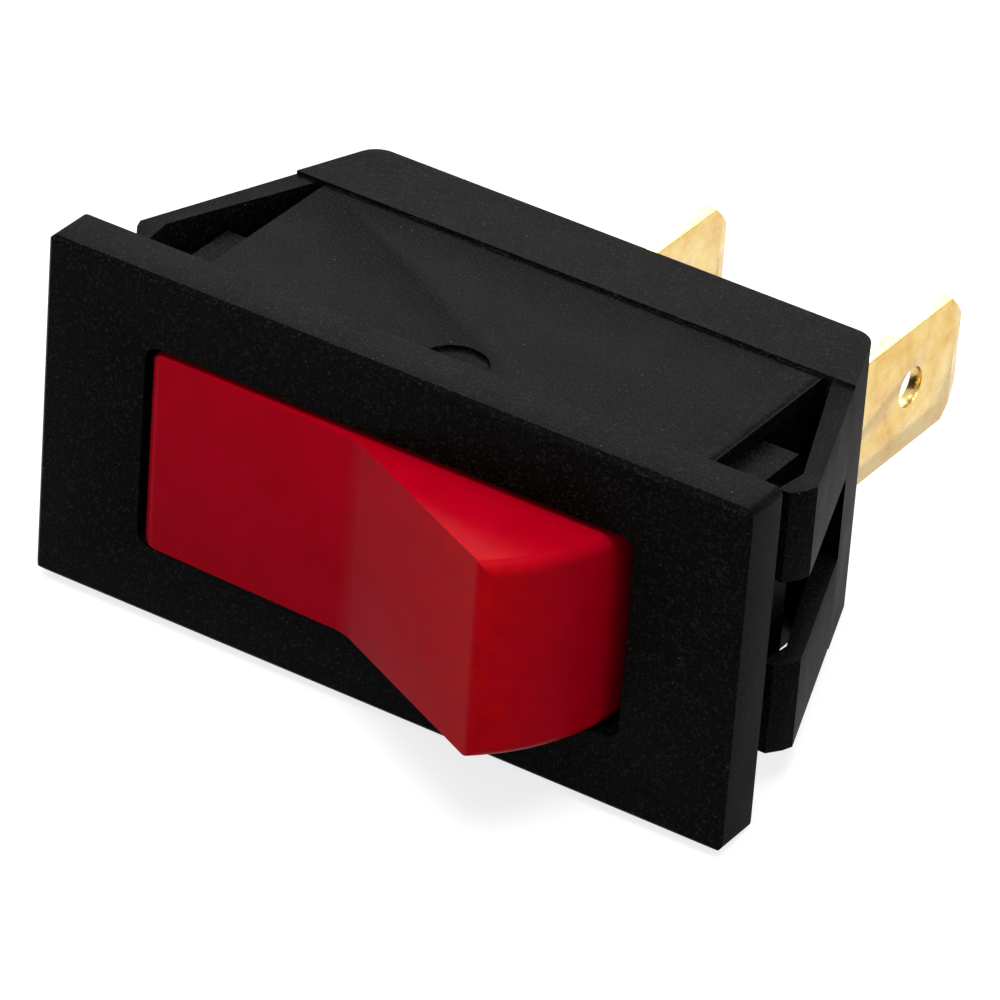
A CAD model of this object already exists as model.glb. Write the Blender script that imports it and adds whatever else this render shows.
import bpy
import bmesh
import math
import random
from mathutils import Euler, Matrix, Vector


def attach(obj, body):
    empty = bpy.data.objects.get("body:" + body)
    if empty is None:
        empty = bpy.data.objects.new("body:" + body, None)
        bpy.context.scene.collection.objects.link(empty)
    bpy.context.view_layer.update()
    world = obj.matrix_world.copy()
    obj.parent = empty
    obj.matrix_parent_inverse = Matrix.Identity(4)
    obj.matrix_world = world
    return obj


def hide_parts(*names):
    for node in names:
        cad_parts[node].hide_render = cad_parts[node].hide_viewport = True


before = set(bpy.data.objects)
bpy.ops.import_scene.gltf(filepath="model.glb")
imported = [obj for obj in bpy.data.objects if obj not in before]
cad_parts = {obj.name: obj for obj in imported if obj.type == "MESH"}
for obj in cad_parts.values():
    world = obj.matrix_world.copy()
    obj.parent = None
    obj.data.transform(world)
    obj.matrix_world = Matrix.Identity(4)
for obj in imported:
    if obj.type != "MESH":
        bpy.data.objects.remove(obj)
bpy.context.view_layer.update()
scene = bpy.context.scene
scene.view_settings.view_transform = "Standard"
mm = 0.001
print("frame loaded:", len(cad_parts), "nodes")


def colour(hexText):
    # sRGB hex to the linear colour that the shader wants
    channels = [int(hexText[i:i + 2], 16) / 255 for i in (1, 3, 5)]
    return (*[c / 12.92 if c <= 0.04045 else ((c + 0.055) / 1.055) ** 2.4 for c in channels], 1)


def plug(tree, node, inputs):
    # fills a node's inputs with values, or links them from another node or socket
    for name, value in inputs.items():
        if isinstance(value, bpy.types.Node):
            value = next(output for output in value.outputs if output.enabled)
        if isinstance(value, bpy.types.NodeSocket):
            tree.links.new(value, node.inputs[name])
        else:
            node.inputs[name].default_value = value


def addNode(tree, kind, inputs=None, **settings):
    node = tree.nodes.new(kind)
    for name, value in settings.items():
        setattr(node, name, value)
    plug(tree, node, inputs or {})
    return node


def startMaterial(name, baseHex, **sockets):
    # a Principled material and its surface point in millimetres
    material = bpy.data.materials.new(name)
    material.use_nodes = True
    tree = material.node_tree
    shader = tree.nodes["Principled BSDF"]
    plug(tree, shader, {"Base Color": colour(baseHex)})
    plug(tree, shader, {socket.replace("_", " "): value for socket, value in sockets.items()})
    place = addNode(tree, "ShaderNodeTexCoord").outputs["Object"]
    point = addNode(tree, "ShaderNodeVectorMath", {0: place, 1: (1000, 1000, 1000)}, operation="MULTIPLY")
    return material, tree, shader, point


# Polyamide moulded in a spark-eroded tool: nearly black, a fine even grain that catches the light as
# pale specks, cloudy patches where the skin cooled unevenly, and a few specks of dust. The grain is
# drawn a little coarser than the real one, so that it shows.
grainedNylonLook = {"base": "#050505", "patch": "#080808", "speck": "#343330", "dust": "#4a4843",
                    "grainSize": 0.1, "patchSize": 1.6, "dustPerMm": 1.15, "specular": 0.02,
                    "roughness": (0.5, 0.57), "grainDepth": 0.02}


def makeGrainedNylon(name, look):
    material, tree, shader, point = startMaterial(name, look["base"], Specular_IOR_Level=look["specular"])
    grain = addNode(tree, "ShaderNodeTexNoise", {"Vector": point, "Scale": 1 / look["grainSize"], "Detail": 4,
                    "Roughness": 0.7})
    patches = addNode(tree, "ShaderNodeTexNoise", {"Vector": point, "Scale": 1 / look["patchSize"], "Detail": 4,
                      "Roughness": 0.6})
    patchShare = addNode(tree, "ShaderNodeMapRange", {"Value": patches, "From Min": 0.4, "From Max": 0.7})
    cloudy = addNode(tree, "ShaderNodeMix", {0: patchShare, 6: colour(look["base"]), 7: colour(look["patch"])},
                     data_type="RGBA")
    speckShare = addNode(tree, "ShaderNodeMapRange", {"Value": grain, "From Min": 0.54, "From Max": 0.72,
                         "To Max": 0.7})
    speckled = addNode(tree, "ShaderNodeMix", {0: speckShare, 6: cloudy, 7: colour(look["speck"])},
                       data_type="RGBA")
    dustCell = addNode(tree, "ShaderNodeTexVoronoi", {"Vector": point, "Scale": look["dustPerMm"]})
    dustShare = addNode(tree, "ShaderNodeMapRange", {"Value": dustCell, "From Min": 0.028, "From Max": 0.045,
                        "To Min": 0.85, "To Max": 0})
    dusty = addNode(tree, "ShaderNodeMix", {0: dustShare, 6: speckled, 7: colour(look["dust"])}, data_type="RGBA")
    sheen = addNode(tree, "ShaderNodeMapRange", {"Value": patches, "From Min": 0.35, "From Max": 0.7,
                    "To Min": look["roughness"][0], "To Max": look["roughness"][1]})
    bump = addNode(tree, "ShaderNodeBump", {"Strength": 0.7, "Distance": look["grainDepth"] * mm, "Height": grain})
    plug(tree, shader, {"Base Color": dusty, "Roughness": sheen, "Normal": bump})
    return material


# The same polyamide off a polished part of the tool: a smoother satin skin with faint flow lines
# along the band and soft, wide changes of sheen.
satinNylonLook = {"base": "#050505", "flow": "#090908", "flowSize": 2.4, "flowStretch": (0.35, 1.4, 1),
                  "grainSize": 0.12, "specular": 0.03, "roughness": (0.42, 0.5), "grainDepth": 0.004}


def makeSatinNylon(name, look):
    material, tree, shader, point = startMaterial(name, look["base"], Specular_IOR_Level=look["specular"])
    drawnOut = addNode(tree, "ShaderNodeVectorMath", {0: point, 1: look["flowStretch"]}, operation="MULTIPLY")
    flow = addNode(tree, "ShaderNodeTexNoise", {"Vector": drawnOut, "Scale": 1 / look["flowSize"], "Detail": 5,
                   "Roughness": 0.55})
    flowShare = addNode(tree, "ShaderNodeMapRange", {"Value": flow, "From Min": 0.35, "From Max": 0.7})
    flowed = addNode(tree, "ShaderNodeMix", {0: flowShare, 6: colour(look["base"]), 7: colour(look["flow"])},
                     data_type="RGBA")
    sheen = addNode(tree, "ShaderNodeMapRange", {"Value": flow, "From Min": 0.3, "From Max": 0.7,
                    "To Min": look["roughness"][0], "To Max": look["roughness"][1]})
    grain = addNode(tree, "ShaderNodeTexNoise", {"Vector": point, "Scale": 1 / look["grainSize"], "Detail": 3,
                    "Roughness": 0.6})
    bump = addNode(tree, "ShaderNodeBump", {"Strength": 0.5, "Distance": look["grainDepth"] * mm, "Height": grain})
    plug(tree, shader, {"Base Color": flowed, "Roughness": sheen, "Normal": bump})
    return material


# The fingers and ends come from milled slides: scored along the finger and blotched where they drag.
scoredNylonLook = {"base": "#070707", "scuff": "#2b2a27", "scoreSize": 0.11, "scoreStretch": (1, 0.3, 1),
                   "blotchSize": 0.5, "specular": 0.04, "roughness": (0.45, 0.7), "scoreDepth": 0.02}


def makeScoredNylon(name, look):
    material, tree, shader, point = startMaterial(name, look["base"], Specular_IOR_Level=look["specular"])
    drawnOut = addNode(tree, "ShaderNodeVectorMath", {0: point, 1: look["scoreStretch"]}, operation="MULTIPLY")
    score = addNode(tree, "ShaderNodeTexNoise", {"Vector": drawnOut, "Scale": 1 / look["scoreSize"], "Detail": 4,
                    "Roughness": 0.65})
    blotch = addNode(tree, "ShaderNodeTexNoise", {"Vector": point, "Scale": 1 / look["blotchSize"], "Detail": 5,
                     "Roughness": 0.7})
    both = addNode(tree, "ShaderNodeMath", {0: score, 1: blotch}, operation="MULTIPLY")
    scuffShare = addNode(tree, "ShaderNodeMapRange", {"Value": both, "From Min": 0.24, "From Max": 0.42,
                         "To Max": 0.8})
    scuffed = addNode(tree, "ShaderNodeMix", {0: scuffShare, 6: colour(look["base"]), 7: colour(look["scuff"])},
                      data_type="RGBA")
    sheen = addNode(tree, "ShaderNodeMapRange", {"Value": blotch, "From Min": 0.3, "From Max": 0.7,
                    "To Min": look["roughness"][0], "To Max": look["roughness"][1]})
    bump = addNode(tree, "ShaderNodeBump", {"Strength": 0.8, "Distance": look["scoreDepth"] * mm, "Height": both})
    plug(tree, shader, {"Base Color": scuffed, "Roughness": sheen, "Normal": bump})
    return material


# Red polyamide off a polished tool: deep, even and slightly cloudy, with a soft sheen, a faint
# orange-peel skin and a duller, lighter rub where fingers press.
redPolyamideLook = {"base": "#a40016", "cloud": "#ae001c", "rub": "#b60806", "cloudSize": 1.4, "rubSize": 0.7,
                    "rubFrom": (-3.5, -6), "skinSize": 0.35, "specular": 0.02, "roughness": (0.3, 0.38),
                    "skinDepth": 0.006}


def makeRedPolyamide(name, look):
    material, tree, shader, point = startMaterial(name, look["base"], Specular_IOR_Level=look["specular"])
    cloud = addNode(tree, "ShaderNodeTexNoise", {"Vector": point, "Scale": 1 / look["cloudSize"], "Detail": 5,
                    "Roughness": 0.6})
    cloudShare = addNode(tree, "ShaderNodeMapRange", {"Value": cloud, "From Min": 0.35, "From Max": 0.7})
    clouded = addNode(tree, "ShaderNodeMix", {0: cloudShare, 6: colour(look["base"]), 7: colour(look["cloud"])},
                      data_type="RGBA")
    rubbed = addNode(tree, "ShaderNodeTexNoise", {"Vector": point, "Scale": 1 / look["rubSize"], "Detail": 5,
                     "Roughness": 0.7})
    outward = addNode(tree, "ShaderNodeSeparateXYZ", {"Vector": point}).outputs["Y"]
    proud = addNode(tree, "ShaderNodeMapRange", {"Value": outward, "From Min": look["rubFrom"][0],
                    "From Max": look["rubFrom"][1]})
    worn = addNode(tree, "ShaderNodeMapRange", {"Value": rubbed, "From Min": 0.4, "From Max": 0.65, "To Min": 0.2})
    rubShare = addNode(tree, "ShaderNodeMath", {0: proud, 1: worn}, operation="MULTIPLY")
    finished = addNode(tree, "ShaderNodeMix", {0: rubShare, 6: clouded, 7: colour(look["rub"])}, data_type="RGBA")
    sheen = addNode(tree, "ShaderNodeMapRange", {"Value": rubbed, "From Min": 0.3, "From Max": 0.7,
                    "To Min": look["roughness"][0], "To Max": look["roughness"][1]})
    skin = addNode(tree, "ShaderNodeTexNoise", {"Vector": point, "Scale": 1 / look["skinSize"], "Detail": 2,
                   "Roughness": 0.6})
    bump = addNode(tree, "ShaderNodeBump", {"Strength": 0.35, "Distance": look["skinDepth"] * mm, "Height": skin})
    plug(tree, shader, {"Base Color": finished, "Roughness": sheen, "Normal": bump})
    return material


# Brass strip, rolled and stamped: pale gold, fine rolling lines along the tab, handling stains and
# a duller, browner cast in patches.
stampedBrassLook = {"base": "#e2c681", "warm": "#d6b066", "stain": "#a9803c", "lineSize": 0.05,
                    "lineStretch": (1, 0.06, 1), "stainSize": 1.3, "roughness": (0.24, 0.42), "lineDepth": 0.004}


def makeStampedBrass(name, look):
    material, tree, shader, point = startMaterial(name, look["base"], Metallic=1)
    drawnOut = addNode(tree, "ShaderNodeVectorMath", {0: point, 1: look["lineStretch"]}, operation="MULTIPLY")
    lines = addNode(tree, "ShaderNodeTexNoise", {"Vector": drawnOut, "Scale": 1 / look["lineSize"], "Detail": 3,
                    "Roughness": 0.6})
    stains = addNode(tree, "ShaderNodeTexNoise", {"Vector": point, "Scale": 1 / look["stainSize"], "Detail": 6,
                     "Roughness": 0.65})
    warmShare = addNode(tree, "ShaderNodeMapRange", {"Value": stains, "From Min": 0.38, "From Max": 0.62})
    warmed = addNode(tree, "ShaderNodeMix", {0: warmShare, 6: colour(look["base"]), 7: colour(look["warm"])},
                     data_type="RGBA")
    stainShare = addNode(tree, "ShaderNodeMapRange", {"Value": stains, "From Min": 0.62, "From Max": 0.74,
                         "To Max": 0.7})
    stained = addNode(tree, "ShaderNodeMix", {0: stainShare, 6: warmed, 7: colour(look["stain"])},
                      data_type="RGBA")
    wear = addNode(tree, "ShaderNodeMath", {0: lines, 1: stains}, operation="MULTIPLY")
    sheen = addNode(tree, "ShaderNodeMapRange", {"Value": wear, "From Min": 0.15, "From Max": 0.4,
                    "To Min": look["roughness"][0], "To Max": look["roughness"][1]})
    bump = addNode(tree, "ShaderNodeBump", {"Strength": 0.5, "Distance": look["lineDepth"] * mm, "Height": lines})
    plug(tree, shader, {"Base Color": stained, "Roughness": sheen, "Normal": bump})
    return material


# Undyed polyamide, moulded: waxy off-white, slightly translucent, with a soft cloudiness.
naturalNylonLook = {"base": "#e6e1d2", "cloud": "#d8d1bd", "cloudSize": 0.9, "roughness": (0.38, 0.5),
                    "cloudDepth": 0.004}


def makeNaturalNylon(name, look):
    material, tree, shader, point = startMaterial(name, look["base"], Subsurface_Weight=0.15,
                                                  Subsurface_Scale=0.0006)
    cloud = addNode(tree, "ShaderNodeTexNoise", {"Vector": point, "Scale": 1 / look["cloudSize"], "Detail": 4,
                    "Roughness": 0.6})
    clouded = addNode(tree, "ShaderNodeMix", {0: cloud, 6: colour(look["base"]), 7: colour(look["cloud"])},
                      data_type="RGBA")
    sheen = addNode(tree, "ShaderNodeMapRange", {"Value": cloud, "From Min": 0.3, "From Max": 0.7,
                    "To Min": look["roughness"][0], "To Max": look["roughness"][1]})
    bump = addNode(tree, "ShaderNodeBump", {"Strength": 0.3, "Distance": look["cloudDepth"] * mm, "Height": cloud})
    plug(tree, shader, {"Base Color": clouded, "Roughness": sheen, "Normal": bump})
    return material


# Drawn steel spring wire and silver-alloy rivets: bright metal with fine die lines or a matt,
# slightly yellowed face.
springWireLook = {"base": "#b9bbbe", "dull": "#8f9092", "grainSize": 0.06, "roughness": (0.22, 0.38),
                  "grainDepth": 0.003}
silverAlloyLook = {"base": "#dedcd6", "dull": "#b8ae9c", "grainSize": 0.2, "roughness": (0.3, 0.5),
                   "grainDepth": 0.003}


def makeBareMetal(name, look):
    material, tree, shader, point = startMaterial(name, look["base"], Metallic=1)
    grain = addNode(tree, "ShaderNodeTexNoise", {"Vector": point, "Scale": 1 / look["grainSize"], "Detail": 4,
                    "Roughness": 0.6})
    dullShare = addNode(tree, "ShaderNodeMapRange", {"Value": grain, "From Min": 0.4, "From Max": 0.7})
    dulled = addNode(tree, "ShaderNodeMix", {0: dullShare, 6: colour(look["base"]), 7: colour(look["dull"])},
                     data_type="RGBA")
    sheen = addNode(tree, "ShaderNodeMapRange", {"Value": grain, "From Min": 0.3, "From Max": 0.7,
                    "To Min": look["roughness"][0], "To Max": look["roughness"][1]})
    bump = addNode(tree, "ShaderNodeBump", {"Strength": 0.4, "Distance": look["grainDepth"] * mm, "Height": grain})
    plug(tree, shader, {"Base Color": dulled, "Roughness": sheen, "Normal": bump})
    return material


grainedNylon = makeGrainedNylon("grained_moulded_polyamide", grainedNylonLook)
satinNylon = makeSatinNylon("satin_moulded_polyamide", satinNylonLook)
scoredNylon = makeScoredNylon("scored_moulded_polyamide", scoredNylonLook)
redPolyamide = makeRedPolyamide("red_polished_polyamide", redPolyamideLook)
stampedBrass = makeStampedBrass("stamped_brass", stampedBrassLook)
naturalNylon = makeNaturalNylon("natural_polyamide", naturalNylonLook)
springWire = makeBareMetal("drawn_spring_wire", springWireLook)
silverAlloy = makeBareMetal("silver_alloy", silverAlloyLook)
print("materials made")


def finishPiece(piece, materials, body):
    piece.data.materials.clear()
    for material in materials:
        piece.data.materials.append(material)
    scene.collection.objects.link(piece)
    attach(piece, body)


def dressNode(node, name, body, materials, edgeRound, segments=2, shift=(0, 0, 0), region=None):
    # the node's own shape with its edges rounded as a mould or a press leaves them
    mesh = bpy.data.meshes.new(name)
    form = bmesh.new()
    form.from_mesh(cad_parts[node].data)
    bmesh.ops.remove_doubles(form, verts=form.verts, dist=0.002 * mm)
    bmesh.ops.dissolve_limit(form, angle_limit=math.radians(0.5), verts=form.verts, edges=form.edges)
    bmesh.ops.translate(form, verts=form.verts, vec=Vector(shift) * mm)
    for face in form.faces:
        face.smooth = True
        face.material_index = region(face) if region else 0
    form.to_mesh(mesh)
    form.free()
    piece = bpy.data.objects.new(name, mesh)
    bevel = piece.modifiers.new("edge round", "BEVEL")
    bevel.width = edgeRound * mm
    bevel.segments = segments
    bevel.limit_method = "ANGLE"
    bevel.angle_limit = math.radians(30)
    bevel.harden_normals = True
    bevel.miter_outer = "MITER_ARC"
    finishPiece(piece, materials, body)
    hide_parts(node)


# housing: grained skin, satin rear band, scored fingers and ends
housingForm = {"edgeRound": 0.07, "bandFront": 8.95, "bodyHalfHeight": 5.005, "endReach": 9.93}


def housingRegion(face):
    centre = face.calc_center_median() / mm
    if abs(face.normal.x) > 0.5 and abs(centre.x) > housingForm["endReach"] - 0.1 and centre.y > 2:
        return 2
    return 1 if centre.y > housingForm["bandFront"] and abs(face.normal.z) > 0.5 else 0


dressNode("housing", "moulded_housing", "housing", [grainedNylon, satinNylon, scoredNylon],
          housingForm["edgeRound"], 3, region=housingRegion)

# rocker: sits down on the lower side of its opening, by the play that it has there
rockerForm = {"edgeRound": 0.05, "settle": 0.09}
dressNode("rocker", "red_rocker", "rocker", [redPolyamide], rockerForm["edgeRound"], 3,
          shift=(0, 0, -rockerForm["settle"]))

# terminals and the block that closes the rear
terminalForm = {"edgeRound": 0.035, "baseRound": 0.06}
dressNode("load_terminal", "load_tab", "housing", [stampedBrass], terminalForm["edgeRound"])
dressNode("common_terminal", "common_tab", "housing", [stampedBrass], terminalForm["edgeRound"])
dressNode("terminal_base", "rear_block", "housing", [grainedNylon], terminalForm["baseRound"])
print("dressed pieces made")

# the works inside keep the solids' shapes
innerMaterials = {"plunger": naturalNylon, "plunger_spring": springWire, "contact_lever": stampedBrass,
                  "moving_contact": silverAlloy, "fixed_contact": silverAlloy}
for nodeName, material in innerMaterials.items():
    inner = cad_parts[nodeName]
    inner.data.materials.clear()
    inner.data.materials.append(material)


def raggedStrip(name, start, along, across, up, length, width, height, seed, pitch=0.09):
    # a thin ragged fin: its foot runs along a line, its tip wanders across by up to the width
    chance = random.Random(seed)
    along, across, up = Vector(along), Vector(across), Vector(up)
    count = int(length / pitch)
    reach, rise = width / 2, height / 2
    form = bmesh.new()
    rings = []
    for i in range(count + 1):
        reach = min(width, max(0.01, reach + chance.uniform(-0.45, 0.45) * width))
        rise = min(height, max(0.01, rise + chance.uniform(-0.4, 0.4) * height))
        foot = Vector(start) + along * (length * i / count)
        rings.append([form.verts.new((foot + offset) * mm) for offset in (
            up * -0.05, across * reach + up * -0.05, across * reach * 0.8 + up * rise * 0.5, up * rise)])
    for before, after in zip(rings, rings[1:]):
        for side in range(4):
            other = (side + 1) % 4
            form.faces.new((before[side], before[other], after[other], after[side]))
    form.faces.new(rings[0][::-1])
    form.faces.new(rings[-1])
    bmesh.ops.recalc_face_normals(form, faces=form.faces)
    mesh = bpy.data.meshes.new(name)
    form.to_mesh(mesh)
    form.free()
    piece = bpy.data.objects.new(name, mesh)
    finishPiece(piece, [grainedNylon], "housing")


flash = {"bandWidth": 0.16, "bandHeight": 0.07, "flangeWidth": 0.2, "flangeHeight": 0.12, "edgeWidth": 0.12}
topZ = housingForm["bodyHalfHeight"]
for side, sign in (("top", 1), ("bottom", -1)):
    raggedStrip(f"band_flash_{side}", (-9.9, housingForm["bandFront"], sign * topZ), (1, 0, 0), (0, -1, 0),
                (0, 0, sign), 19.8, flash["bandWidth"], flash["bandHeight"], 3 + sign)
    raggedStrip(f"flange_flash_{side}", (-9.85, 0, sign * topZ), (1, 0, 0), (0, 1, 0), (0, 0, sign), 19.7,
                flash["flangeWidth"], flash["flangeHeight"], 11 + sign, 0.13)
for side, sign in (("right", 1), ("left", -1)):
    raggedStrip(f"rim_flash_{side}", (sign * 13.6, 0, -6.4), (0, 0, 1), (0, 1, 0), (sign, 0, 0), 12.8,
                flash["edgeWidth"], 0.06, 23 + sign, 0.16)
print("mould flash made")

# a rough strip, proud by a hair, beside the pocket of each right-hand finger
stripForm = {"left": 8.5, "right": 9.9, "front": 0.25, "back": 8.85, "thickness": 0.05, "roughness": 0.035}


def makeRoughStrip(name, sign, seed):
    chance = random.Random(seed)
    form = bmesh.new()
    across, down = 10, 56
    grid = []
    for j in range(down + 1):
        y = stripForm["front"] + (stripForm["back"] - stripForm["front"]) * j / down
        row = []
        for i in range(across + 1):
            x = stripForm["left"] + (stripForm["right"] - stripForm["left"]) * i / across
            rim = i in (0, across) or j in (0, down)
            lift = -0.03 if rim else stripForm["thickness"] + chance.uniform(-0.5, 0.5) * stripForm["roughness"]
            row.append(form.verts.new(Vector((x, y, sign * (topZ + lift))) * mm))
        grid.append(row)
    for j in range(down):
        for i in range(across):
            form.faces.new((grid[j][i], grid[j][i + 1], grid[j + 1][i + 1], grid[j + 1][i]))
    bmesh.ops.recalc_face_normals(form, faces=form.faces)
    for face in form.faces:
        face.smooth = True
        if face.normal.z * sign < 0:
            face.normal_flip()
    mesh = bpy.data.meshes.new(name)
    form.to_mesh(mesh)
    form.free()
    piece = bpy.data.objects.new(name, mesh)
    finishPiece(piece, [grainedNylon], "housing")


makeRoughStrip("rough_strip_top", 1, 5)
makeRoughStrip("rough_strip_bottom", -1, 6)
print("rough strips made")

# the switch lies on its bezel's rear edge and the rear band's lower edge
stage = {"bezelFoot": -6.525, "bandFoot": -5.135, "bandY": 12.1, "size": 900, "floorGlow": 0.78,
         "floorTone": 0.3, "ambient": 0.55}
lean = math.atan2(stage["bandFoot"] - stage["bezelFoot"], stage["bandY"])
floorMesh = bpy.data.meshes.new("floor")
half = stage["size"] / 2 * mm
floorMesh.from_pydata([(-half, -half, 0), (half, -half, 0), (half, half, 0), (-half, half, 0)], [], [(0, 1, 2, 3)])
floor = bpy.data.objects.new("floor", floorMesh)
floor.matrix_world = Matrix.Translation((0, 0, (stage["bezelFoot"] - 0.005) * mm)) @ Matrix.Rotation(lean, 4, "X")
scene.collection.objects.link(floor)
# matt white paper: white to the camera and to reflections, and it keeps the soft shadow
paper = bpy.data.materials.new("white_paper")
paper.use_nodes = True
paperTree = paper.node_tree
paperTree.nodes.clear()
rays = addNode(paperTree, "ShaderNodeLightPath").outputs
seen = addNode(paperTree, "ShaderNodeMath", {0: rays["Is Camera Ray"], 1: rays["Is Glossy Ray"]},
               operation="MAXIMUM")
seen = addNode(paperTree, "ShaderNodeMath", {0: seen, 1: rays["Is Transmission Ray"]}, operation="MAXIMUM")
glow = addNode(paperTree, "ShaderNodeMath", {0: seen, 1: stage["floorGlow"]}, operation="MULTIPLY")
white = addNode(paperTree, "ShaderNodeEmission", {"Strength": glow})
matt = addNode(paperTree, "ShaderNodeBsdfDiffuse", {"Color": (*[stage["floorTone"]] * 3, 1)})
paperSum = addNode(paperTree, "ShaderNodeAddShader", {0: white, 1: matt})
addNode(paperTree, "ShaderNodeOutputMaterial", {"Surface": paperSum})
floor.data.materials.append(paper)

# white surroundings to the camera and to reflections, a plainer light on the object
world = bpy.data.worlds.new("studio")
scene.world = world
world.use_nodes = True
worldTree = world.node_tree
worldRays = addNode(worldTree, "ShaderNodeLightPath").outputs
shown = addNode(worldTree, "ShaderNodeMath", {0: worldRays["Is Camera Ray"], 1: worldRays["Is Transmission Ray"]},
                operation="MAXIMUM")
shown = addNode(worldTree, "ShaderNodeMath", {0: shown, 1: worldRays["Is Glossy Ray"]}, operation="MAXIMUM")
level = addNode(worldTree, "ShaderNodeMapRange", {"Value": shown, "To Min": stage["ambient"], "To Max": 1})
plug(worldTree, worldTree.nodes["Background"], {"Color": (1, 1, 1, 1), "Strength": level})

# soft boxes: a broad one behind and above, whose sheen lies on the top faces, and a weak fill
softBoxes = [
    {"name": "rear_box", "place": (-170, 270, 240), "size": (260, 180), "power": 1.1},
    {"name": "top_box", "place": (40, -60, 420), "size": (300, 300), "power": 1.6},
]
target = Vector((0, 4, 0)) * mm
for box in softBoxes:
    lamp = bpy.data.lights.new(box["name"], "AREA")
    lamp.shape = "RECTANGLE"
    lamp.size, lamp.size_y = (s * mm for s in box["size"])
    lamp.energy = box["power"]
    lampObject = bpy.data.objects.new(box["name"], lamp)
    lampObject.location = Vector(box["place"]) * mm
    lampObject.rotation_euler = (target - lampObject.location).to_track_quat("-Z", "Y").to_euler()
    lampObject.visible_camera = False
    scene.collection.objects.link(lampObject)

viewpoint = {"place": (117.799, -190.234, 139.285), "angles": (58.192, -3.689, 33.331), "lens": 288.9}
camera = bpy.data.objects.new("camera", bpy.data.cameras.new("camera"))
camera.data.lens = viewpoint["lens"]
camera.data.sensor_width = 36
camera.data.clip_start = 0.01
camera.data.clip_end = 10
camera.location = Vector(viewpoint["place"]) * mm
camera.rotation_euler = Euler([math.radians(a) for a in viewpoint["angles"]])
scene.collection.objects.link(camera)
scene.camera = camera
print("stage, lamps and camera set")

bpy.context.view_layer.update()
